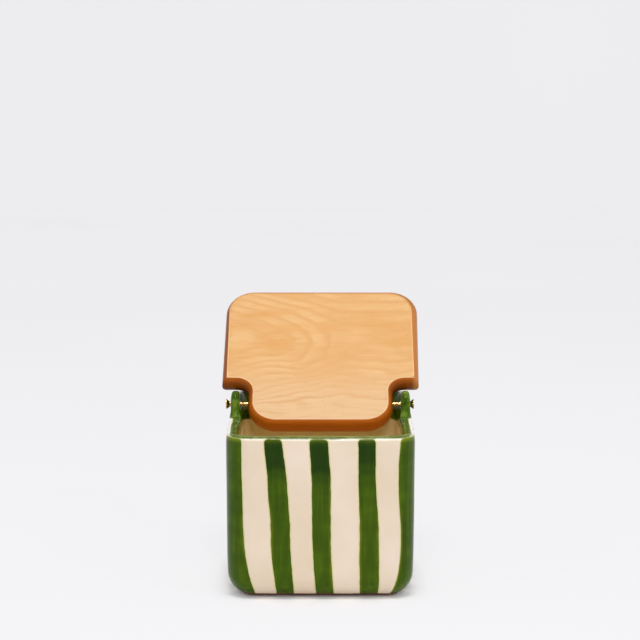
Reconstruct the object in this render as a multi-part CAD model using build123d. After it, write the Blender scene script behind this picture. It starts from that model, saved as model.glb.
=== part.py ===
from build123d import *
import os
from math import atan2, degrees, sqrt

# A squarish earthenware keeper with a wooden lid that swings on two brass wood screws.
# Millimetres, +Z up, front towards -Y, +X to the right of someone who faces the front.
# The origin is the centre of the pot's foot, on the surface that the pot stands on.
# The lid is modelled closed and then swung open, to lean back over the ears.

# Pot: walls, floor and the rounding of the casting
pot_width = 110.0
pot_depth = 115.0
rim_height = 96.0
corner_radius = 16.0
side_bow = 1.0
wall = 7.0
floor_thickness = 8.0
foot_radius = 14.0
floor_radius = 6.0
rim_rounding = 2.4

# Ears: they stand on the side walls, slope down to the back and run round the rear corners
ear_height = 14.2
ear_slope = 0.16
ear_thickness = 5.6
ear_reach = 12.0
ear_front_radius = 8.0
ear_foot_radius = 4.5
ear_thinning_depth = 6.0
ear_end_angle = 60.0
ear_end_place = 0.5
ear_end_lean = 3.5
ear_end_radius = 7.0
ear_end_foot_radius = 3.0

# Lid: a board with a wide front, a notch beside each ear, a neck and a tail
lid_thickness = 11.0
lid_side_overhang = 6.0
lid_front_overhang = 9.5
lid_tail_reach = 20.7
notch_reach = 14.5
lid_front_radius = 18.0
lid_notch_radius = 8.0
lid_tail_radius = 17.5
lid_shoulder_radius = 3.2
lid_edge_bulge = 2.8
lid_open_angle = 142.0

# Hinge screws: countersunk wood screws, one driven a little deeper than the other
screw_length = 25.0
screw_radius = 1.6
screw_point_length = 4.0
screw_head_radius = 3.0
screw_head_rim = 0.5
screw_head_cone = 1.8
screw_slot_width = 0.9
screw_slot_depth = 1.1
left_head_stand = 3.1
right_head_stand = 2.4
left_slot_turn = 25.0
right_slot_turn = 70.0

# Clearances
lid_rest_gap = 0.3
tail_gap = 0.8
neck_gap = 4.9
ear_hole_clearance = 0.08
pilot_clearance = 0.02
pilot_end_clearance = 0.3

# Worked out from the sizes above
back_inside = pot_depth / 2 - wall
hinge_y = back_inside - tail_gap - lid_tail_reach
hinge_z = rim_height + lid_rest_gap + lid_thickness / 2
top_height = rim_height + 2 * ear_height
over_size = pot_width + pot_depth
corner_x = pot_width / 2 - corner_radius
corner_y = pot_depth / 2 - corner_radius
lid_width = pot_width + 2 * lid_side_overhang
neck_width = pot_width - 2 * (ear_thickness + neck_gap)
lid_front = -pot_depth / 2 - lid_front_overhang


# Pot

def pot_outline(inset, height):
    """The pot's plan at one height: four slightly bowed sides and four rounded corners."""
    half_width = pot_width / 2 - inset
    half_depth = pot_depth / 2 - inset
    end_x = half_width - side_bow
    end_y = half_depth - side_bow
    sides = [
        ThreePointArc((-end_x, -end_y), (0, -half_depth), (end_x, -end_y)),
        ThreePointArc((end_x, -end_y), (half_width, 0), (end_x, end_y)),
        ThreePointArc((end_x, end_y), (0, half_depth), (-end_x, end_y)),
        ThreePointArc((-end_x, end_y), (-half_width, 0), (-end_x, -end_y)),
    ]
    plan = make_face(sides)
    plan = fillet(plan.vertices(), corner_radius - inset)
    return Pos(0, 0, height) * plan


def pot_body():
    """The casting's outside, up to above the ears, with its rounded foot edge."""
    body = extrude(pot_outline(0, 0), top_height)
    foot_edges = body.faces().sort_by(Axis.Z)[0].edges()
    return fillet(foot_edges, foot_radius)


def pot_hollow():
    """The space inside the casting, with its rounded floor edge."""
    hollow = extrude(pot_outline(wall, floor_thickness), top_height)
    floor_edges = hollow.faces().sort_by(Axis.Z)[0].edges()
    return fillet(floor_edges, floor_radius)


def ear_thinning():
    """The ears' inner sides lean back from the thicker wall that carries them."""
    start = rim_height - ear_thinning_depth
    lean = degrees(atan2(wall - ear_thickness, ear_thinning_depth + ear_height / 2))
    return extrude(pot_outline(wall, start), top_height - start, taper=-lean)


def ear_side_cut():
    """What is cut away above the rim, seen from the side: the ears' front and sloping top."""
    ear_front = hinge_y - ear_reach
    profile = FilletPolyline(
        (-over_size, rim_height),
        (ear_front, rim_height),
        (ear_front, ear_top(ear_front)),
        (over_size, ear_top(over_size)),
        (over_size, top_height + over_size),
        (-over_size, top_height + over_size),
        radius=[0, ear_foot_radius, ear_front_radius, 0, 0, 0],
        close=True,
    )
    return extrude(Plane.YZ * make_face(profile), over_size, both=True)


def ear_top(y):
    """Height of the ears' sloping top at a distance behind the middle of the pot."""
    return rim_height + ear_height - ear_slope * (y - hinge_y)


def ear_end_plane():
    """The upright plane that shows the right ear's end square on, through the rear corner's centre."""
    turn = ear_end_angle - 90
    return Plane(
        origin=(corner_x, corner_y, 0),
        x_dir=Vector(-1, 0, 0).rotate(Axis.Z, turn),
        z_dir=Vector(0, 1, 0).rotate(Axis.Z, turn),
    )


def ear_end_cut():
    """What is cut away behind the right ear, up to the steep end that comes down to the rim."""
    far = 2 * corner_radius
    top = 3 * ear_height
    profile = FilletPolyline(
        (ear_end_place + ear_end_lean, 0),
        (far, 0),
        (far, top),
        (ear_end_place - 2 * ear_end_lean, top),
        radius=[ear_end_foot_radius, 0, 0, 0],
        close=True,
    )
    inside_corner = ear_end_plane() * Pos(0, rim_height, -corner_radius / 4)
    return extrude(inside_corner * make_face(profile), 1.5 * corner_radius)


def back_cut():
    """What is cut away above the low rim at the back, between the ears' ends."""
    half_block = Pos(0, 0, rim_height) * Box(
        corner_x - wall, pot_depth, over_size, align=(Align.MIN, Align.MIN, Align.MIN)
    )
    return half_block + mirror(half_block, about=Plane.YZ)


def ear_cut():
    """The whole of what is cut away round both ears, rounded where an ear's top meets its end."""
    end_cut = ear_end_cut()
    cut = ear_side_cut() + back_cut() + end_cut + mirror(end_cut, about=Plane.YZ)
    crest = (ear_end_plane() * Pos(ear_end_place, rim_height + ear_height, corner_radius)).position
    for x in (crest.X, -crest.X):
        crest_edge = cut.edges().sort_by_distance((x, crest.Y, crest.Z))[0]
        cut = fillet(crest_edge, ear_end_radius)
    return cut


def hinge_hole():
    """The hole through both ears that the screws turn in."""
    radius = screw_radius + ear_hole_clearance
    return Pos(0, hinge_y, hinge_z) * Rot(0, 90, 0) * Cylinder(radius, over_size)


def rounded_rim(pot):
    """Rounds both edges of the one smooth band that is the rim and the ears' edge."""
    band = [
        face
        for face in pot.faces()
        if face.center().Z > rim_height - rim_rounding
        and face.geom_type in (GeomType.PLANE, GeomType.CYLINDER)
    ]
    edges = [edge for face in band for edge in face.edges()]
    borders = [edge for edge in edges if sum(edge.is_same(other) for other in edges) == 1]
    return fillet(borders, rim_rounding)


def ceramic_pot():
    """The whole casting: body, hollow, ears, rounded rim and the ears' holes."""
    pot = pot_body() - pot_hollow() - ear_thinning() - ear_cut()
    return rounded_rim(pot) - hinge_hole()


# Lid

def lid_outline(inset, height):
    """The board's plan at one height above its middle, closed, drawn in by the edge's rounding there."""
    half_width = lid_width / 2 - inset
    half_neck = neck_width / 2 - inset
    front = lid_front + inset
    notch = hinge_y - notch_reach - inset
    tail = hinge_y + lid_tail_reach - inset
    front_radius = lid_front_radius - inset
    shoulder_radius = lid_shoulder_radius - inset
    inner_radius = lid_notch_radius + inset
    tail_radius = lid_tail_radius - inset
    outline = FilletPolyline(
        (-half_width, front),
        (half_width, front),
        (half_width, notch),
        (half_neck, notch),
        (half_neck, tail),
        (-half_neck, tail),
        (-half_neck, notch),
        (-half_width, notch),
        radius=[
            front_radius,
            front_radius,
            shoulder_radius,
            inner_radius,
            tail_radius,
            tail_radius,
            inner_radius,
            shoulder_radius,
        ],
        close=True,
    )
    return Pos(0, 0, hinge_z + height) * make_face(outline)


def edge_inset(height):
    """How far the rounded edge is drawn in, at a height above or below the board's middle."""
    half = lid_thickness / 2
    edge_radius = (half ** 2 + lid_edge_bulge ** 2) / (2 * lid_edge_bulge)
    return edge_radius - sqrt(edge_radius ** 2 - height ** 2)


def lid_board():
    """The board, closed: flat faces with crisp borders, and an edge that bulges all round."""
    steps = 4
    heights = [lid_thickness * (step / steps - 0.5) for step in range(steps + 1)]
    return loft([lid_outline(edge_inset(height), height) for height in heights])


def swung_open(piece):
    """Turns what is carried by the lid about the hinge, from closed to open."""
    return piece.rotate(Axis((0, hinge_y, hinge_z), (1, 0, 0)), -lid_open_angle)


def wooden_lid():
    """The board with a pilot hole for a screw in each side of its neck."""
    board = lid_board()
    for side, head_stand in ((-1, left_head_stand), (1, right_head_stand)):
        tip = pot_width / 2 + head_stand - screw_length - pilot_end_clearance
        length = neck_width / 2 - tip
        pilot = Cylinder(screw_radius + pilot_clearance, length)
        middle = Pos(side * (tip + length / 2), hinge_y, hinge_z)
        board = board - middle * Rot(0, 90, 0) * pilot
    return swung_open(board)


# Hinge screws

def hinge_screw(side, head_stand, slot_turn):
    """A countersunk wood screw on the hinge line, head outwards, on the left (-1) or the right (1)."""
    shank_end = screw_length - screw_point_length
    profile = Polyline(
        (0, 0),
        (screw_head_radius, 0),
        (screw_head_radius, -screw_head_rim),
        (screw_radius, -screw_head_rim - screw_head_cone),
        (screw_radius, -shank_end),
        (0, -screw_length),
        close=True,
    )
    screw = revolve(Plane.XZ * make_face(profile), Axis.Z)
    slot = Box(3 * screw_head_radius, screw_slot_width, 2 * screw_slot_depth)
    screw = screw - Rot(0, 0, slot_turn) * slot
    head_face = side * (pot_width / 2 + head_stand)
    return swung_open(Pos(head_face, hinge_y, hinge_z) * Rot(0, side * 90, 0) * screw)


# Every piece, under the name of its node

pieces = {
    "ceramic_pot": ceramic_pot(),
    "wooden_lid": wooden_lid(),
    "left_hinge_screw": hinge_screw(-1, left_head_stand, left_slot_turn),
    "right_hinge_screw": hinge_screw(1, right_head_stand, right_slot_turn),
}
os.makedirs("parts", exist_ok=True)
for name, piece in pieces.items():
    export_step(piece, f"parts/{name}.step")
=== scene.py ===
import bpy
import bmesh
import math
import numpy as np
from mathutils import Matrix, Vector, noise


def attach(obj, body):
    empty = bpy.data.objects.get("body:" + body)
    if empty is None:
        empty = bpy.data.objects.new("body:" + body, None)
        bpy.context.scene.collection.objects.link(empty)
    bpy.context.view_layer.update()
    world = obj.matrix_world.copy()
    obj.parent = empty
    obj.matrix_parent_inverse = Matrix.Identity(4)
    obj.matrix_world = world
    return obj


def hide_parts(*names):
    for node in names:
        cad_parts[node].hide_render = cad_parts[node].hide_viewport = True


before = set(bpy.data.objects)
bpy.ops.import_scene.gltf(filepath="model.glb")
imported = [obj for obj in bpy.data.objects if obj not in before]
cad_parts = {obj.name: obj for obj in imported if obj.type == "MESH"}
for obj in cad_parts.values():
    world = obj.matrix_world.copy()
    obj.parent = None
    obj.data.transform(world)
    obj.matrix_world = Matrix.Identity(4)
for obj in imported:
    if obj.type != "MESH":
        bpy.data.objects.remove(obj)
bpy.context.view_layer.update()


# Camera.
# A long lens a little above the rim, square on to the front of the pot.

camera_place = Vector((-0.0003, -1.3075, 0.309))
camera_pitch = math.radians(6.62)
camera = bpy.data.objects.new("camera", bpy.data.cameras.new("camera"))
bpy.context.collection.objects.link(camera)
camera.data.lens = 123.5
camera.data.sensor_width = 36.0
camera.data.clip_end = 100.0
camera.location = camera_place
camera.rotation_euler = (math.radians(90) - camera_pitch, 0, 0)
bpy.context.scene.camera = camera
bpy.context.scene.view_settings.view_transform = "Standard"


# Pot.
# One slip-cast earthenware keeper with two ears, biscuit fired, painted by hand with a
# loaded brush and glazed. The foot is wiped clean and shows the red clay, drawn darker as painted
# contact shade.

mm = 0.001
pot_width = 110.0
pot_depth = 115.0
rim_height = 96.0
wall = 7.0
floor_thickness = 8.0
corner_radius = 16.0
glaze_skin = 1.15 * mm
belly_heights = (0, 14, 24, 47, 70, 90, 96, 99)
belly_reach = (0, 0.1, 0.4, 0.6, 0.7, 0.9, 0.6, 0)
hand_wobble = 0.2

corner_x = pot_width / 2 - corner_radius
corner_y = pot_depth / 2 - corner_radius


def only(piece):
    """Selects one piece and nothing else, and makes it the active one."""
    bpy.ops.object.select_all(action="DESELECT")
    piece.select_set(True)
    bpy.context.view_layer.objects.active = piece


pot = bpy.data.objects.new("painted_pot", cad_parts["ceramic_pot"].data.copy())
bpy.context.collection.objects.link(pot)
only(pot)
pot.data.materials.clear()
bpy.ops.object.mode_set(mode="EDIT")
bpy.ops.mesh.select_all(action="SELECT")
bpy.ops.mesh.remove_doubles(threshold=0.002 * mm)
bpy.ops.object.mode_set(mode="OBJECT")
pot.data.remesh_voxel_size = glaze_skin
bpy.ops.object.voxel_remesh()
bpy.ops.mesh.customdata_custom_splitnormals_clear()
soften = pot.modifiers.new("soften", "SMOOTH")
soften.factor = 0.5
soften.iterations = 6
bpy.ops.object.modifier_apply(modifier=soften.name)
bpy.ops.object.shade_smooth()

# Where each vertex is: its distance in from the outer face, and how far round the pot it is,
# counted from the middle of the front, to the right as positive
points = np.empty(len(pot.data.vertices) * 3)
pot.data.vertices.foreach_get("co", points)
points = points.reshape(-1, 3) / mm
x, y, z = points.T
past_x = np.maximum(np.abs(x) - corner_x, 0)
past_y = np.maximum(np.abs(y) - corner_y, 0)
in_corner = (past_x > 0) & (past_y > 0)
inset = np.where(
    in_corner,
    corner_radius - np.hypot(past_x, past_y),
    np.minimum(pot_width / 2 - np.abs(x), pot_depth / 2 - np.abs(y)),
)
outside = (inset < wall / 2) | (z < floor_thickness - 1)
on_side = ~in_corner & (pot_width / 2 - np.abs(x) < pot_depth / 2 - np.abs(y))
corner_turn = corner_radius * np.arctan2(past_x, np.maximum(past_y, 1e-9))
corner_arc = corner_radius * math.pi / 2
to_side = corner_x + corner_arc
side_middle = to_side + corner_y
half_round = to_side + 2 * corner_y + corner_arc + corner_x
run = np.where(in_corner, corner_x + corner_turn, np.abs(x))
around = np.where(on_side, side_middle + y, np.where(y < 0, run, half_round - run))
around = np.where(x < 0, -around, around)


def drift(places, per_mm, lane):
    """A smooth random number from about -1 to 1 for each place on a line; a lane is one pattern."""
    return np.array([noise.noise((place * per_mm, *lane)) for place in places])


# The painter's stripes: each stripe's left and right border round the pot at four heights, and
# the height at which its second coat ends, which is above the rim where there is none. Three are
# at the front and one is at each corner, then come three on each side and three at the back.
stripe_heights = (94.3, 56.2, 21.3, 2.0)
stripe_top = 94.6
stripe_top_radius = 2.2
single_coat = 130.0
unpainted = -50.0
stripes = [
    ((-32.1, -29.4, -27.3, -25.5), (-21.9, -18.3, -16.6, -15.4), 78.0),
    ((-6.1, -4.9, -4.0, -2.8), (4.2, 5.8, 6.3, 7.5), 75.5),
    ((21.1, 22.0, 22.5, 22.9), (31.3, 32.3, 33.8, 33.5), 80.5),
    ((46.9, 45.6, 46.3, 42.2), (67.5, 68.2, 67.0, 69.0), single_coat),
    ((-68.0, -67.2, -68.6, -70.0), (-45.7, -45.1, -42.4, -38.1), single_coat),
    ((143.9, 143.2, 144.4, 142.6), (165.0, 165.8, 164.4, 167.0), single_coat),
    ((-166.2, -165.0, -166.5, -168.4), (-143.4, -144.4, -143.0, -141.8), single_coat),
]
for middle, shifts in (
    (side_middle, (-23.4, 0.8, 23.9)),
    (-side_middle, (-24.2, -0.6, 22.8)),
    (half_round, (-26.4, 0.5, 26.2)),
):
    for number, shift in enumerate(shifts):
        lean = 1.6 * math.sin(2.1 * number + middle)
        coat_end = 77.0 + 2.5 * math.cos(3 * number + middle)
        stripes.append((
            [middle + shift - 5.2 - lean * (height - 50) / 50 for height in stripe_heights],
            [middle + shift + 5.3 - lean * (height - 50) / 60 for height in stripe_heights],
            coat_end,
        ))

# How far each vertex is inside a stripe's border, and how far above the end of its second coat.
# The hand sways by up to half a millimetre over some 22 mm and trembles over some 5 mm.
wall_height = np.clip(z, 0, rim_height)
paint = np.full(len(x), unpainted)
second_coat = np.full(len(x), unpainted)
for number, (left, right, coat_end) in enumerate(stripes):
    left_border = np.polyval(np.polyfit(stripe_heights, left, 3), wall_height)
    right_border = np.polyval(np.polyfit(stripe_heights, right, 3), wall_height)
    unsteady = drift(z, 0.045, (7.3 * number, 0.5)) * 0.55
    trembling = drift(z, 0.21, (3.1 * number, 8.5)) * 0.16
    off = around - (left_border + right_border) / 2 - unsteady
    off = (off + half_round) % (2 * half_round) - half_round
    across = (right_border - left_border) / 2 + trembling - np.abs(off)
    down = stripe_top - z
    near_top = (across < stripe_top_radius) & (down < stripe_top_radius)
    rounded = stripe_top_radius - np.hypot(stripe_top_radius - across, stripe_top_radius - down)
    inside_stripe = np.where(near_top, rounded, np.minimum(across, down))
    above_coat_end = z - coat_end + 0.09 * off ** 2 * math.sin(number + 1)
    second_coat = np.where(inside_stripe > paint, above_coat_end, second_coat)
    paint = np.maximum(paint, inside_stripe)
paint = np.where(outside, paint, unpainted)

# The rim and ears are painted all over and some way down inside. Outside, the paint ends a
# little below the edge at the front and back, and on top of the rim along the sides.
paint_below_outside = 1.3
paint_below_inside = 6.4
paint_in_from_side = 2.3
wavy = drift(around, 0.05, (0.3, 2.0))
outer_border = rim_height - paint_below_outside + 0.3 * wavy
inner_border = rim_height - paint_below_inside + 1.2 * wavy
down_to_border = z - np.where(outside, outer_border, inner_border)
on_outer_rim = outside & (z > rim_height - 3)
in_to_border = np.where(on_outer_rim, inset - paint_in_from_side + 0.4 * wavy, down_to_border)
past_corner = np.clip((np.abs(around) - corner_x - 14) / 10, 0, 1)
before_ear = np.clip((16 - y) / 8, 0, 1)
along_side = past_corner * before_ear
rim_paint = np.minimum(
    down_to_border,
    in_to_border * along_side + down_to_border * (1 - along_side),
)

for name, values in (
    ("stripe", paint),
    ("second_coat", second_coat),
    ("rim_paint", rim_paint),
    ("inside", np.clip((inset - 2.5) / 2.5, 0, 1) * ~outside),
):
    layer = pot.data.attributes.new(name, "FLOAT", "POINT")
    layer.data.foreach_set("value", values.astype(np.float32))

# The casting bellies out a little below the rim, and no wall of it is quite flat
belly_out = np.interp(z, belly_heights, belly_reach) * np.clip(1 - inset / wall, 0, 1)
points[:, 0] += np.sign(x) * belly_out * np.clip(np.abs(x) / corner_x, 0, 1)
points[:, 1] += np.sign(y) * belly_out * np.clip(np.abs(y) / corner_y, 0, 1) / 2
fade = np.clip((rim_height - 6 - z) / 14, 0, 1) * np.clip(z / 16, 0, 1) * outside
swell = np.array([noise.noise(Vector(point) * 0.028) for point in points])
swell = swell * hand_wobble * fade
points[:, 0] += swell * np.where(np.abs(x) > corner_x, np.sign(x), 0)
points[:, 1] += swell * np.where(np.abs(y) > corner_y, np.sign(y), 0)
pot.data.vertices.foreach_set("co", (points * mm).ravel())
pot.data.update()


def colour(hex_value):
    """An sRGB hex colour as the linear one that a shader takes."""
    linear = []
    for place in (0, 2, 4):
        part = int(hex_value[place:place + 2], 16) / 255
        linear.append(part / 12.92 if part <= 0.04045 else ((part + 0.055) / 1.055) ** 2.4)
    return (*linear, 1.0)


def add(tree, kind, inputs=None, out=0, stops=None, **settings):
    """Adds a node and gives one of its outputs, or all of them where out is None.

    An input is a value or another node's output. Stops fill a colour ramp, each with a hex
    colour or a grey level.
    """
    item = tree.nodes.new("ShaderNode" + kind)
    for name, value in settings.items():
        setattr(item, name, value)
    for name, value in (inputs or {}).items():
        if isinstance(value, bpy.types.NodeSocket):
            tree.links.new(value, item.inputs[name])
        else:
            item.inputs[name].default_value = value
    if stops:
        for place, value in stops[1:-1]:
            item.color_ramp.elements.new(place)
        for element, (place, value) in zip(item.color_ramp.elements, stops):
            element.position = place
            element.color = colour(value) if isinstance(value, str) else (value, value, value, 1)
    return item.outputs if out is None else item.outputs[out]


def new_material(name):
    """An empty material and its tree, with only the surface output."""
    material = bpy.data.materials.new(name)
    material.use_nodes = True
    material.node_tree.nodes.clear()
    output = material.node_tree.nodes.new("ShaderNodeOutputMaterial")
    return material, material.node_tree, output


# Glazed earthenware: a clear, wet gloss over cream slip and green underglaze paint. The paint
# is streaky along the brush, thin and yellowish at its borders, and darker where it went on twice.
# Hair tracks and grit are finer on the real pot, and are drawn as coarse as they need to show.
brush_hairs = 2.381 * mm
brush_loads = 11.765 * mm
thin_patches = 41.667 * mm
glaze_runs = 4.762 * mm
glaze_ripples = 10.526 * mm
glaze_lumps = 3.3333 * mm
clay_grit = 1.4286 * mm

glaze, tree, output = new_material("glazed_earthenware")
where = add(tree, "TexCoord", out="Object")
split = add(tree, "SeparateXYZ", {0: where}, out=None)
height = split["Z"]
stripe = add(tree, "Attribute", out="Fac", attribute_name="stripe")
coat = add(tree, "Attribute", out="Fac", attribute_name="second_coat")
rim = add(tree, "Attribute", out="Fac", attribute_name="rim_paint")
inner = add(tree, "Attribute", out="Fac", attribute_name="inside")

# Where there is paint, and the pale halo that it bleeds beside a stripe
edge_tremble = add(tree, "TexNoise", {"Vector": where, "Scale": 1 / brush_hairs, "Detail": 2.0})
stripe_edge = add(tree, "Math", {0: edge_tremble, 1: 0.35, 2: stripe}, operation="MULTIPLY_ADD")
rim_edge = add(tree, "Math", {0: edge_tremble, 1: 0.7, 2: rim}, operation="MULTIPLY_ADD")
in_stripe = add(tree, "MapRange", {0: stripe_edge, 1: 0.02, 2: 0.32}, interpolation_type="SMOOTHSTEP")
in_halo = add(tree, "MapRange", {0: stripe_edge, 1: -0.85, 2: -0.1},
              interpolation_type="SMOOTHSTEP")
in_rim = add(tree, "MapRange", {0: rim_edge, 1: -0.1, 2: 0.9}, interpolation_type="SMOOTHSTEP")
painted = add(tree, "Math", {0: in_stripe, 1: in_rim}, operation="MAXIMUM")

# The stripes' green: hair tracks drawn out along the brush, bands where it was loaded again, and
# thin borders in patches
brush_way = add(tree, "Mapping", {"Vector": where, "Scale": (1.0, 1.0, 0.09)})
streaks = add(tree, "TexNoise", {
    "Vector": brush_way, "Scale": 1 / brush_hairs, "Detail": 3.0, "Roughness": 0.6,
})
band_way = add(tree, "Mapping", {"Vector": where, "Scale": (0.3, 0.3, 1.0)})
bands = add(tree, "TexNoise", {
    "Vector": band_way, "Scale": 1 / brush_loads, "Detail": 4.0, "Distortion": 0.4,
})
clouds = add(tree, "TexNoise", {"Vector": where, "Scale": 1 / thin_patches, "Detail": 4.0})
load = add(tree, "Math", {0: streaks, 1: 0.5}, operation="MULTIPLY")
load = add(tree, "Math", {0: bands, 1: 0.5, 2: load}, operation="MULTIPLY_ADD")
green = add(tree, "ValToRGB", {0: load}, stops=[(0.30, "304A00"), (0.50, "3E5700"), (0.70, "526C0A")])
near_border = add(tree, "MapRange", {0: stripe, 1: 0.2, 2: 1.9, 3: 1.0, 4: 0.0},
                  interpolation_type="SMOOTHSTEP")
in_patch = add(tree, "MapRange", {0: clouds, 1: 0.47, 2: 0.62}, interpolation_type="SMOOTHSTEP")
thin = add(tree, "Math", {0: near_border, 1: in_patch}, operation="MULTIPLY")
thin = add(tree, "Math", {0: thin, 1: in_stripe}, operation="MULTIPLY")
green = add(tree, "Mix", {0: thin, 6: green, 7: colour("66700A")}, out=2, data_type="RGBA")

# The second coat covers the tops, thins out in two laps below its end and wears a little at the
# lip. Where a stripe has one coat, its top is painted paler, a painted highlight on the rounding
coat_share = add(tree, "MapRange", {0: coat, 1: -30.0, 2: 6.0})
coated = add(tree, "ValToRGB", {0: coat_share}, stops=[
    (0.0, 0.0), (0.44, 0.16), (0.62, 0.24), (0.68, 0.46), (0.77, 0.5), (0.88, 0.85), (1.0, 0.85),
])
worn_top = add(tree, "MapRange", {0: height, 1: 90.0 * mm, 2: 94.0 * mm, 3: 1.0, 4: 0.75})
coated = add(tree, "Math", {0: coated, 1: worn_top}, operation="MULTIPLY")
twice = add(tree, "Math", {0: coated, 1: in_stripe}, operation="MULTIPLY")
green = add(tree, "Mix", {0: twice, 6: green, 7: colour("123000")}, out=2, data_type="RGBA")
painted_top_highlight = add(tree, "MapRange", {0: height, 1: 91.5 * mm, 2: 94.5 * mm, 3: 0.0, 4: 0.6},
               interpolation_type="SMOOTHSTEP")
uncoated = add(tree, "Math", {0: 1.0, 1: coated}, operation="SUBTRACT")
painted_top_highlight = add(tree, "Math", {0: painted_top_highlight, 1: uncoated}, operation="MULTIPLY")
green = add(tree, "Mix", {0: painted_top_highlight, 6: green, 7: colour("8C9A30")}, out=2, data_type="RGBA")

# The rim's and ears' green ran and pooled. On the rim's crest at the front and back it is painted
# paler, a painted reflection of the bright surroundings
run_way = add(tree, "Mapping", {"Vector": where, "Scale": (1.0, 1.0, 0.5)})
runs = add(tree, "TexNoise", {
    "Vector": run_way, "Scale": 1 / glaze_runs, "Detail": 2.0, "Roughness": 0.5, "Distortion": 0.3,
})
rim_green = add(tree, "ValToRGB", {0: runs}, stops=[
    (0.32, "284600"), (0.50, "466308"), (0.68, "708A2C"),
])
above_wall = add(tree, "MapRange", {0: height, 1: 95.0 * mm, 2: 95.9 * mm})
below_ear = add(tree, "MapRange", {0: height, 1: 99.2 * mm, 2: 95.7 * mm},
                interpolation_type="SMOOTHSTEP")
off_middle = add(tree, "Math", {0: split["Y"]}, operation="ABSOLUTE")
at_ends = add(tree, "MapRange", {0: off_middle, 1: 42.0 * mm, 2: 53.0 * mm, 3: 0.06, 4: 0.55})
crest_reflection = add(tree, "Math", {0: above_wall, 1: below_ear}, operation="MULTIPLY")
crest_reflection = add(tree, "Math", {0: crest_reflection, 1: at_ends}, operation="MULTIPLY")
rim_green = add(tree, "Mix", {0: crest_reflection, 6: rim_green, 7: colour("96985A")}, out=2, data_type="RGBA")
green = add(tree, "Mix", {0: in_rim, 6: green, 7: rim_green}, out=2, data_type="RGBA")

# The cream: painted yellower inside as painted warm light bounced in off the wood, with a painted
# highlight in a band just below the rim's paint, greenish beside a stripe
cream = add(tree, "ValToRGB", {0: clouds}, stops=[(0.35, "E4D0B6"), (0.52, "E8D6C0"), (0.68, "EDDCC9")])
inside_bounce_cream = add(tree, "ValToRGB", {0: clouds}, stops=[(0.35, "EED8A2"), (0.68, "FAE8BA")])
cream = add(tree, "Mix", {0: inner, 6: cream, 7: inside_bounce_cream}, out=2, data_type="RGBA")
lip_highlight = add(tree, "MapRange", {0: height, 1: 93.4 * mm, 2: 94.5 * mm}, interpolation_type="SMOOTHSTEP")
cream = add(tree, "Mix", {0: lip_highlight, 6: cream, 7: colour("FDF6E6")}, out=2, data_type="RGBA")
halo = add(tree, "Math", {0: in_halo, 1: 0.9}, operation="MULTIPLY")
cream = add(tree, "Mix", {0: halo, 6: cream, 7: colour("D4CF8E")}, out=2, data_type="RGBA")
surface = add(tree, "Mix", {0: painted, 6: cream, 7: green}, out=2, data_type="RGBA")

# The foot, where the glaze was wiped off the red clay. The bare band is drawn taller and its clay
# darker, as painted contact shade along the bottom
grit = add(tree, "TexNoise", {"Vector": where, "Scale": 1 / clay_grit, "Detail": 5.0})
clay_and_contact_shade = add(tree, "ValToRGB", {0: grit}, stops=[(0.3, "66301A"), (0.7, "8E4A2A")])
wiped = add(tree, "Math", {0: edge_tremble, 1: 0.6 * mm, 2: height}, operation="MULTIPLY_ADD")
bare_and_shaded_foot = add(tree, "MapRange", {0: wiped, 1: 2.8 * mm, 2: 2.2 * mm}, interpolation_type="SMOOTHSTEP")
surface = add(tree, "Mix", {0: bare_and_shaded_foot, 6: surface, 7: clay_and_contact_shade}, out=2, data_type="RGBA")

# The gloss: glassy on the glaze and matt on the clay, over ripples, the paint's own thickness,
# brush marks and the rim's lumps
gloss = add(tree, "MapRange", {0: clouds, 3: 0.05, 4: 0.11})
gloss = add(tree, "Mix", {0: bare_and_shaded_foot, 2: gloss, 3: 0.85}, data_type="FLOAT")
ripple = add(tree, "TexNoise", {"Vector": where, "Scale": 1 / glaze_ripples, "Detail": 2.0})
raised = add(tree, "Math", {0: painted, 1: 0.25, 2: ripple}, operation="MULTIPLY_ADD")
lumps = add(tree, "TexNoise", {"Vector": where, "Scale": 1 / glaze_lumps, "Detail": 2.0})
lumps = add(tree, "Math", {0: lumps, 1: in_rim}, operation="MULTIPLY")
raised = add(tree, "Math", {0: lumps, 1: 2.5, 2: raised}, operation="MULTIPLY_ADD")
raised = add(tree, "Math", {0: streaks, 1: in_stripe, 2: raised}, operation="MULTIPLY_ADD")
bump = add(tree, "Bump", {"Height": raised, "Strength": 0.22, "Distance": 0.3 * mm})
glazed = add(tree, "BsdfPrincipled", {
    "Base Color": surface, "Roughness": gloss, "Normal": bump, "IOR": 1.5,
    "Specular IOR Level": 0.11,
})
tree.links.new(glazed, output.inputs["Surface"])
pot.data.materials.append(glaze)

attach(pot, "pot")
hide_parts("ceramic_pot")


# Lid.
# One flat-sawn beech board, cut with a notch beside each ear, its whole edge rounded over,
# stained darker on the edge, which also carries painted shade and light, then oiled. It hangs
# open on the hinge line.

lid_thickness = 11.0
lid_width = 122.0
neck_width = 89.0
lid_front = -67.0
hinge_y = 29.0
hinge_z = 101.8
notch_y = hinge_y - 14.5
tail_y = hinge_y + 20.7
front_corner = 18.0
notch_corner = 8.0
tail_corner = 17.5
edge_bulge = 2.8
edge_steps = 7
arris = 0.35
shoulder_mitre = 3.2
shoulder_rounding = 0.6
side_lean = 0.014
same_place = 0.01
cut_pitch = 4.07
lid_open = math.radians(-142.0)


def pick(piece, kind, test):
    """In edit mode, selects only those vertices, edges or faces that pass a test."""
    bpy.ops.mesh.select_mode(type={"verts": "VERT", "edges": "EDGE", "faces": "FACE"}[kind])
    bpy.ops.mesh.select_all(action="DESELECT")
    shape = bmesh.from_edit_mesh(piece.data)
    for item in getattr(shape, kind):
        if test(item):
            item.select_set(True)
    shape.select_flush_mode()
    bmesh.update_edit_mesh(piece.data)


def on_notch_line(edge):
    """Whether an edge of the plain board is where the neck grows out of it."""
    return all(
        abs(end.co.y / mm - notch_y) < same_place
        and abs(end.co.x / mm) < neck_width / 2 + same_place
        for end in edge.verts
    )


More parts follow.
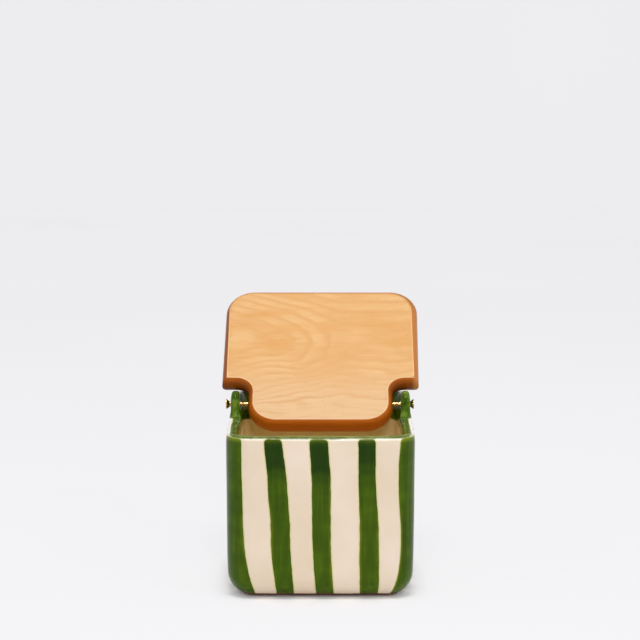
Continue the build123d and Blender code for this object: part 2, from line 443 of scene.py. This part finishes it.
def on_shoulder_mitre(edge):
    """Whether an edge runs down the square corner of a shoulder, through the rounded edge."""
    return all(
        abs(end.co.x) / mm > lid_width / 2 - shoulder_mitre
        and abs(notch_y - end.co.y / mm - lid_width / 2 + abs(end.co.x) / mm) < 2 * same_place
        for end in edge.verts
    )


# The flat outline: a wide front, the neck and tail grown out of it, and its rounded corners
bpy.ops.object.select_all(action="DESELECT")
bpy.ops.mesh.primitive_plane_add(size=mm, location=(0, 0, hinge_z * mm))
lid = bpy.context.active_object
lid.name = "oiled_lid"
bpy.ops.object.mode_set(mode="EDIT")
bpy.ops.transform.resize(value=(lid_width, notch_y - lid_front, 1))
bpy.ops.transform.translate(value=(0, (notch_y + lid_front) / 2 * mm, 0))
for side in (-1, 1):
    bpy.ops.mesh.select_all(action="SELECT")
    bpy.ops.mesh.bisect(plane_co=(side * neck_width / 2 * mm, 0, 0), plane_no=(1, 0, 0))
pick(lid, "edges", on_notch_line)
bpy.ops.mesh.extrude_region_move(TRANSFORM_OT_translate={"value": (0, (tail_y - notch_y) * mm, 0)})
bpy.ops.mesh.select_all(action="SELECT")
bpy.ops.mesh.dissolve_limited(angle_limit=math.radians(2))
for corner_at, end_at, radius, steps in (
    (lid_width / 2, lid_front, front_corner, 14),
    (neck_width / 2, notch_y, notch_corner, 10),
    (neck_width / 2, tail_y, tail_corner, 14),
):
    pick(lid, "verts", lambda vert: abs(abs(vert.co.x / mm) - corner_at) < same_place
         and abs(vert.co.y / mm - end_at) < same_place)
    bpy.ops.mesh.bevel(offset=radius * mm, segments=steps, affect="VERTICES", profile=0.5)

# The upper half of the edge's round, up to the small arris, then the other half as its mirror
half = lid_thickness / 2
round_radius = (half ** 2 + edge_bulge ** 2) / (2 * edge_bulge)
rise, drawn_in = 0.0, 0.0
bpy.ops.mesh.select_all(action="SELECT")
for step in range(1, edge_steps + 1):
    next_rise = (half - arris / 2) * math.sin(math.radians(90) * step / edge_steps)
    next_in = round_radius - math.sqrt(round_radius ** 2 - next_rise ** 2)
    bpy.ops.mesh.inset(thickness=(next_in - drawn_in) * mm, depth=(next_rise - rise) * mm,
                       use_boundary=True)
    rise, drawn_in = next_rise, next_in
bpy.ops.mesh.inset(thickness=arris * mm, depth=(half - rise) * mm, use_boundary=True)
bpy.ops.object.mode_set(mode="OBJECT")
other_half = lid.modifiers.new("other_half", "MIRROR")
other_half.use_axis = (False, False, True)
other_half.merge_threshold = 0.01 * mm
bpy.ops.object.modifier_apply(modifier=other_half.name)
bpy.ops.object.mode_set(mode="EDIT")
bpy.ops.mesh.select_all(action="SELECT")
bpy.ops.mesh.normals_make_consistent(inside=False)
pick(lid, "edges", on_shoulder_mitre)
bpy.ops.mesh.bevel(offset=shoulder_rounding * mm, segments=3, affect="EDGES")

# The large faces are cut up, so that each point of them can say how far it is from the border
for cuts, first_cut, across in ((30, -59.1, (1, 0, 0)), (28, -63.3, (0, 1, 0))):
    for number in range(cuts):
        cut_at = (cut_pitch * number + first_cut) * mm
        bpy.ops.mesh.select_all(action="SELECT")
        bpy.ops.mesh.bisect(plane_co=(across[0] * cut_at, across[1] * cut_at, 0), plane_no=across)
bpy.ops.object.mode_set(mode="OBJECT")

# Sawn by eye, the board's sides lean a little to the right towards its front
for vert in lid.data.vertices:
    vert.co.x += side_lean * max(notch_y * mm - vert.co.y, 0)

# How far each vertex is inside the board's border, for the edge's stain and painted shade, and the
# arris's pale line of wear and painted highlight
board_x = np.abs(np.array([vert.co.x / mm for vert in lid.data.vertices]))
board_y = np.array([vert.co.y / mm for vert in lid.data.vertices])


def within(side, end, radius):
    """How far a point is inside two borders that meet in a rounded corner, in mm."""
    rounded = radius - np.hypot(radius - side, radius - end)
    return np.where((side < radius) & (end < radius), rounded, np.minimum(side, end))


hollow_x = neck_width / 2 + notch_corner
hollow_y = notch_y + notch_corner
from_hollow = np.hypot(hollow_x - board_x, hollow_y - board_y) - notch_corner
front_part = within(lid_width / 2 - board_x, board_y - lid_front, front_corner)
shoulder = np.minimum(front_part, notch_y - board_y)
hollow = np.minimum(front_part, from_hollow)
tail = within(neck_width / 2 - board_x, tail_y - board_y, tail_corner)
from_border = np.where(board_y > hollow_y, tail, np.where(board_x > hollow_x, shoulder, hollow))
layer = lid.data.attributes.new("from_border", "FLOAT", "POINT")
layer.data.foreach_set("value", from_border.astype(np.float32))

only(lid)
bpy.ops.object.shade_smooth_by_angle(angle=math.radians(32))
hinge = Vector((0, hinge_y, hinge_z)) * mm
swing = Matrix.Rotation(lid_open, 4, "X")
lid.matrix_world = (
    Matrix.Translation(hinge) @ swing @ Matrix.Translation(-hinge) @ lid.matrix_world
)
bpy.ops.object.transform_apply(location=True, rotation=True, scale=True)

# Oiled beech: pale pinkish tan with the arched rings of a flat-sawn board, fine flecks along the
# grain, and a deep amber edge where end grain took up the stain, with painted shade and light
# on it. A low satin sheen.
# The pattern is in millimetres from the hinge line, with the board lying closed, and the grain runs
# along X: the rings wander over 59 mm along it and 22 mm across, a fleck is 3.6 by 0.9 mm, and a
# fibre is 20 by 0.7 mm, which is coarser than real, so that it shows.
ring_width = 4.6

beech, tree, output = new_material("oiled_beech")
where = add(tree, "TexCoord", out="Object")
board = add(tree, "Mapping", {
    "Vector": where, "Location": tuple(hinge), "Rotation": (lid_open, 0, 0), "Scale": (mm, mm, mm),
}, vector_type="TEXTURE")
split = add(tree, "SeparateXYZ", {0: board}, out=None)
border = add(tree, "Attribute", out="Fac", attribute_name="from_border")

# The distance from the tree's pith, which ran above the closed board, nearest to it at the left
along_way = add(tree, "Mapping", {"Vector": board, "Scale": (0.017, 0.045, 0.045)})
wander = add(tree, "TexNoise", {"Vector": along_way, "Scale": 1.0, "Detail": 2.0, "Roughness": 0.4})
wander = add(tree, "Math", {0: wander, 1: 0.5}, operation="SUBTRACT")
pith_y = add(tree, "Math", {0: split["Y"], 1: 52.0}, operation="ADD")
pith_y = add(tree, "Math", {0: wander, 1: 26.0, 2: pith_y}, operation="MULTIPLY_ADD")
pith_z = add(tree, "MapRange", {0: split["X"], 1: -75.0, 2: 12.0, 3: 9.0, 4: 38.0})
pith_z = add(tree, "Math", {0: wander, 1: 14.0, 2: pith_z}, operation="MULTIPLY_ADD")
pith_z = add(tree, "Math", {0: pith_z, 1: split["Z"]}, operation="SUBTRACT")
square_y = add(tree, "Math", {0: pith_y, 1: pith_y}, operation="MULTIPLY")
square_z = add(tree, "Math", {0: pith_z, 1: pith_z}, operation="MULTIPLY")
from_pith = add(tree, "Math", {0: square_y, 1: square_z}, operation="ADD")
from_pith = add(tree, "Math", {0: from_pith, 1: 0.5}, operation="POWER")
year = add(tree, "Math", {0: from_pith, 1: ring_width}, operation="DIVIDE")
year = add(tree, "Math", {0: year, 1: 1.0}, operation="FRACT")
ring = add(tree, "ValToRGB", {0: year}, stops=[(0.0, 0.0), (0.42, 0.2), (0.76, 1.0), (1.0, 0.0)])

# The face: paler towards the tail, with rings that come and go, fibres and short flecks
fibre_way = add(tree, "Mapping", {"Vector": board, "Scale": (0.05, 1.5, 1.5)})
fibres = add(tree, "TexNoise", {"Vector": fibre_way, "Scale": 1.0, "Detail": 3.0})
fleck_way = add(tree, "Mapping", {"Vector": board, "Scale": (0.28, 1.1, 1.1)})
flecks = add(tree, "TexNoise", {"Vector": fleck_way, "Scale": 1.0, "Detail": 1.0})
patch = add(tree, "TexNoise", {"Vector": along_way, "Scale": 2.2, "Detail": 2.0})
strength = add(tree, "MapRange", {0: patch, 1: 0.40, 2: 0.66, 3: 0.08, 4: 0.45})
ring = add(tree, "Math", {0: ring, 1: strength}, operation="MULTIPLY")
face = add(tree, "ValToRGB", {0: patch}, stops=[(0.35, "DEA768"), (0.5, "E2AF74"), (0.65, "E6B87F")])
to_tail = add(tree, "MapRange", {0: split["Y"], 1: -45.0, 2: 16.0, 3: 0.0, 4: 0.85},
              interpolation_type="SMOOTHSTEP")
fine = add(tree, "MapRange", {0: fibres, 1: 0.55, 2: 0.72, 3: 0.0, 4: 0.35})
fleck = add(tree, "MapRange", {0: flecks, 1: 0.70, 2: 0.76, 3: 0.0, 4: 0.55})
for share, tone in ((to_tail, "E8C397"), (ring, "D08A44"), (fine, "D2924F"), (fleck, "C08040")):
    face = add(tree, "Mix", {0: share, 6: face, 7: colour(tone)}, out=2, data_type="RGBA")

# The edge: amber stain round the neck and tail, with a painted gradient of light and shade across
# its thickness, painted shade going brown towards the upper face on the wide part, a painted
# highlight making the right side pale, painted shade on the left, and dark end-grain fibres
across_edge_shade = add(tree, "MapRange", {0: split["Z"], 1: -5.5, 2: 5.5})
across_edge_shade = add(tree, "Math", {0: fibres, 1: 0.25, 2: across_edge_shade}, operation="MULTIPLY_ADD")
edge = add(tree, "ValToRGB", {0: across_edge_shade}, stops=[
    (0.10, "C4691A"), (0.40, "AE580C"), (1.0, "CC7822"),
])
wide_part = add(tree, "MapRange", {0: split["Y"], 1: 2.0, 2: -10.0}, interpolation_type="SMOOTHSTEP")
wide_part_shade = add(tree, "MapRange", {0: across_edge_shade, 1: 0.1, 2: 0.95, 3: 0.2, 4: 0.92})
wide_part_shade = add(tree, "Math", {0: wide_part_shade, 1: wide_part}, operation="MULTIPLY")
right_side_highlight = add(tree, "MapRange", {0: split["X"], 1: 56.0, 2: 59.5, 3: 0.0, 4: 0.55},
             interpolation_type="SMOOTHSTEP")
left_side_shade = add(tree, "MapRange", {0: split["X"], 1: -56.0, 2: -59.5, 3: 0.0, 4: 0.35},
                interpolation_type="SMOOTHSTEP")
for share, tone in (
    (wide_part_shade, "421602"), (right_side_highlight, "DC9650"), (left_side_shade, "7A3C10"), (fine, "7A3204"),
):
    edge = add(tree, "Mix", {0: share, 6: edge, 7: colour(tone)}, out=2, data_type="RGBA")
on_edge = add(tree, "MapRange", {0: border, 1: 3.05, 2: 2.65}, interpolation_type="SMOOTHSTEP")
wood = add(tree, "Mix", {0: on_edge, 6: face, 7: edge}, out=2, data_type="RGBA")

# The arris, pale all round from wear and a painted highlight, and the dark line of stain along the
# front border
arris_wear_and_highlight = add(tree, "MapRange", {0: border, 1: 2.8, 2: 3.1}, interpolation_type="SMOOTHSTEP")
arris_line_end = add(tree, "MapRange", {0: border, 1: 3.9, 2: 3.2}, interpolation_type="SMOOTHSTEP")
arris_wear_and_highlight = add(tree, "Math", {0: arris_wear_and_highlight, 1: arris_line_end}, operation="MULTIPLY")
arris_wear_and_highlight = add(tree, "Math", {0: arris_wear_and_highlight, 1: 0.55}, operation="MULTIPLY")
at_front = add(tree, "MapRange", {0: split["Y"], 1: -72.0, 2: -84.0, 3: 0.0, 4: 0.6},
               interpolation_type="SMOOTHSTEP")
front_line = add(tree, "MapRange", {0: border, 1: 4.2, 2: 3.5}, interpolation_type="SMOOTHSTEP")
front_line = add(tree, "Math", {0: at_front, 1: front_line}, operation="MULTIPLY")
for share, tone in ((arris_wear_and_highlight, "F6CFA0"), (front_line, "B0743C")):
    wood = add(tree, "Mix", {0: share, 6: wood, 7: colour(tone)}, out=2, data_type="RGBA")

sheen = add(tree, "Mix", {0: on_edge, 2: 0.42, 3: 0.3}, data_type="FLOAT")
pores = add(tree, "Math", {0: ring, 1: 0.2, 2: fibres}, operation="MULTIPLY_ADD")
bump = add(tree, "Bump", {"Height": pores, "Strength": 0.10, "Distance": 0.1 * mm})
oiled = add(tree, "BsdfPrincipled", {
    "Base Color": wood, "Roughness": sheen, "Normal": bump, "IOR": 1.5, "Specular IOR Level": 0.12,
})
tree.links.new(oiled, output.inputs["Surface"])
lid.data.materials.append(beech)

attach(lid, "lid")
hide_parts("wooden_lid")


# Hinge screws.
# Two countersunk brass wood screws with a slotted head, turned in by hand through the ears
# into the lid's neck. They are both the fasteners and the hinge pins.

screw_length = 25.0
screw_radius = 1.6
core_radius = 0.95
tip_radius = 0.12
point_length = 4.0
blunt_end = 0.3
head_radius = 3.0
head_chamfer = 0.15
head_rim = 0.5
head_cone = 1.8
slot_width = 0.9
slot_depth = 1.1
plain_shank = 2.6
shank_step = 0.4
thread_pitch = 1.6
thread_radius = 0.55
thread_start = head_rim + head_cone + plain_shank + shank_step
threaded = screw_length - point_length - thread_start
thread_turns = int(threaded / thread_pitch)

bpy.ops.object.select_all(action="DESELECT")
bpy.ops.mesh.primitive_circle_add(
    vertices=36, radius=(head_radius - head_chamfer) * mm, fill_type="NGON",
)
screw = bpy.context.active_object
screw.name = "left_brass_screw"
bpy.ops.object.mode_set(mode="EDIT")
radius_from = head_radius - head_chamfer
for drop, radius_to in (
    (head_chamfer, head_radius),
    (head_rim - head_chamfer, head_radius),
    (head_cone, screw_radius),
    (plain_shank, screw_radius),
    (shank_step, core_radius),
    (threaded, core_radius),
    (point_length - blunt_end, tip_radius),
):
    bpy.ops.mesh.extrude_region_move(TRANSFORM_OT_translate={"value": (0, 0, -drop * mm)})
    bpy.ops.transform.resize(value=(radius_to / radius_from, radius_to / radius_from, 1))
    radius_from = radius_to
bpy.ops.mesh.select_all(action="SELECT")
bpy.ops.mesh.normals_make_consistent(inside=False)
bpy.ops.object.mode_set(mode="OBJECT")
bpy.ops.mesh.primitive_cube_add(size=1, scale=(8 * mm, slot_width * mm, 2 * slot_depth * mm))
slot_cutter = bpy.context.active_object
only(screw)
slot_cut = screw.modifiers.new("slot", "BOOLEAN")
slot_cut.object = slot_cutter
slot_cut.operation = "DIFFERENCE"
slot_cut.solver = "EXACT"
bpy.ops.object.modifier_apply(modifier=slot_cut.name)
bpy.data.objects.remove(slot_cutter)

# The thread is a three-sided bar, wound up the core from below and sunk a little into it
bpy.ops.mesh.primitive_circle_add(
    vertices=3, radius=thread_radius * mm, fill_type="NGON",
    location=((core_radius + 0.1) * mm, 0, -(thread_start + thread_pitch * thread_turns) * mm),
    rotation=(math.radians(90), 0, 0),
)
thread = bpy.context.active_object
bpy.ops.object.mode_set(mode="EDIT")
bpy.ops.transform.rotate(
    value=math.radians(90), orient_axis="Y", center_override=tuple(thread.location),
)
bpy.ops.object.mode_set(mode="OBJECT")
bpy.ops.object.transform_apply(location=True, rotation=True, scale=True)
spiral = thread.modifiers.new("spiral", "SCREW")
spiral.axis = "Z"
spiral.screw_offset = thread_pitch * mm
spiral.iterations = thread_turns
spiral.steps = 20
spiral.render_steps = 20
bpy.ops.object.modifier_apply(modifier=spiral.name)
only(screw)
thread.select_set(True)
bpy.ops.object.join()
bpy.ops.object.mode_set(mode="EDIT")
bpy.ops.mesh.select_all(action="SELECT")
bpy.ops.mesh.normals_make_consistent(inside=False)
bpy.ops.object.mode_set(mode="OBJECT")
bpy.ops.object.shade_smooth_by_angle(angle=math.radians(35))

# Turned brass, handled and never polished: warm yellow metal, mirror-like where it is rubbed and
# duller under a thin brown film.
film_spots = 1.1111 * mm

brass, tree, output = new_material("aged_brass")
where = add(tree, "TexCoord", out="Object")
film = add(tree, "TexNoise", {"Vector": where, "Scale": 1 / film_spots, "Detail": 4.0})
tone = add(tree, "ValToRGB", {0: film}, stops=[(0.35, "9C7436"), (0.65, "EACB92")])
dull = add(tree, "MapRange", {0: film, 3: 0.16, 4: 0.34})
scratch = add(tree, "Bump", {"Height": film, "Strength": 0.15, "Distance": 0.05 * mm})
metal = add(tree, "BsdfPrincipled", {
    "Base Color": tone, "Metallic": 1.0, "Roughness": dull, "Normal": scratch,
})
tree.links.new(metal, output.inputs["Surface"])
screw.data.materials.clear()
screw.data.materials.append(brass)

right_screw = bpy.data.objects.new("right_brass_screw", screw.data.copy())
bpy.context.collection.objects.link(right_screw)
for piece, side, head_stand, slot_turn, node_name in (
    (screw, -1, 3.1, 25.0, "left_hinge_screw"),
    (right_screw, 1, 2.4, 70.0, "right_hinge_screw"),
):
    head_face = Vector((side * (pot_width / 2 + head_stand), hinge_y, hinge_z)) * mm
    piece.matrix_world = (
        Matrix.Translation(head_face)
        @ swing
        @ Matrix.Rotation(math.radians(side * 90), 4, "Y")
        @ Matrix.Rotation(math.radians(slot_turn), 4, "Z")
    )
    only(piece)
    bpy.ops.object.transform_apply(location=True, rotation=True, scale=True)
    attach(piece, "lid")
    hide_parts(node_name)


# Stage.
# A pale table top and a wall of the same tone far behind it, lit by soft boxes above, in front
# and on both sides.

# Matt painted board. Seen directly or mirrored, it is lifted to an even pale grey, except under
# and close round the pot, where it keeps the pot's shadow. The distance from the pot's middle is
# measured so that it follows a rounded square, drawn out to the front and back.
table, tree, output = new_material("pale_table")
where = add(tree, "TexCoord", out="Object")
cloudy = add(tree, "TexNoise", {"Vector": where, "Scale": 1.5, "Detail": 1.0})
pale = add(tree, "ValToRGB", {0: cloudy}, stops=[(0.3, "F4F3F5"), (0.7, "F6F5F7")])
matt = add(tree, "BsdfPrincipled", {
    "Base Color": pale, "Roughness": 0.9, "Specular IOR Level": 0.1,
})
ray = add(tree, "LightPath", out=None)
seen = add(tree, "Math", {0: ray["Is Camera Ray"], 1: ray["Is Glossy Ray"]}, operation="MAXIMUM")
seen = add(tree, "Math", {0: seen, 1: ray["Is Transmission Ray"]}, operation="MAXIMUM")
from_pot = add(tree, "VectorMath", {0: where, 1: (1.0, 0.78, 1.0)}, operation="MULTIPLY")
from_pot = add(tree, "VectorMath", {0: from_pot, 1: from_pot}, operation="MULTIPLY")
from_pot = add(tree, "VectorMath", {0: from_pot}, out="Value", operation="LENGTH")
from_pot = add(tree, "Math", {0: from_pot, 1: 0.5}, operation="POWER")
lifted = add(tree, "MapRange", {0: from_pot, 1: 46.0 * mm, 2: 66.0 * mm, 3: 0.05, 4: 0.85},
             interpolation_type="SMOOTHSTEP")
lifted = add(tree, "Math", {0: seen, 1: lifted}, operation="MULTIPLY")
bright = add(tree, "Emission", {"Color": pale, "Strength": 1.0})
evened = add(tree, "MixShader", {0: lifted, 1: matt, 2: bright})
tree.links.new(evened, output.inputs["Surface"])

stage_size = 12.0
wall_place = 3.47
for name, place, turn in (
    ("table_top", (0, wall_place - stage_size / 2, 0), 0),
    ("far_wall", (0, wall_place, -4.6), math.radians(90)),
):
    bpy.ops.mesh.primitive_plane_add(size=stage_size, location=place, rotation=(turn, 0, 0))
    piece = bpy.context.active_object
    piece.name = name
    piece.data.materials.append(table)
    only(piece)
    bpy.ops.object.transform_apply(location=True, rotation=True, scale=True)

world = bpy.data.worlds.new("studio")
bpy.context.scene.world = world
world.use_nodes = True
background = world.node_tree.nodes["Background"]
background.inputs["Color"].default_value = (1.0, 1.0, 1.0, 1.0)
background.inputs["Strength"].default_value = 0.47

aim = Vector((0, 0, 0.06))
for name, place, size, power in (
    ("soft_box_above", (0.0, -0.25, 1.55), 0.4, 9.0),
    ("soft_box_front", (0.1, -1.5, 0.75), 0.2, 4.2),
    ("soft_box_left", (-1.1, -0.8, 0.9), 0.15, 2.2),
    ("soft_box_right", (1.1, -0.8, 0.9), 0.15, 3.2),
):
    lamp = bpy.data.objects.new(name, bpy.data.lights.new(name, "AREA"))
    bpy.context.collection.objects.link(lamp)
    lamp.data.shape = "SQUARE"
    lamp.data.size = size
    lamp.data.energy = power
    lamp.location = place
    lamp.rotation_euler = (aim - Vector(place)).to_track_quat("-Z", "Y").to_euler()
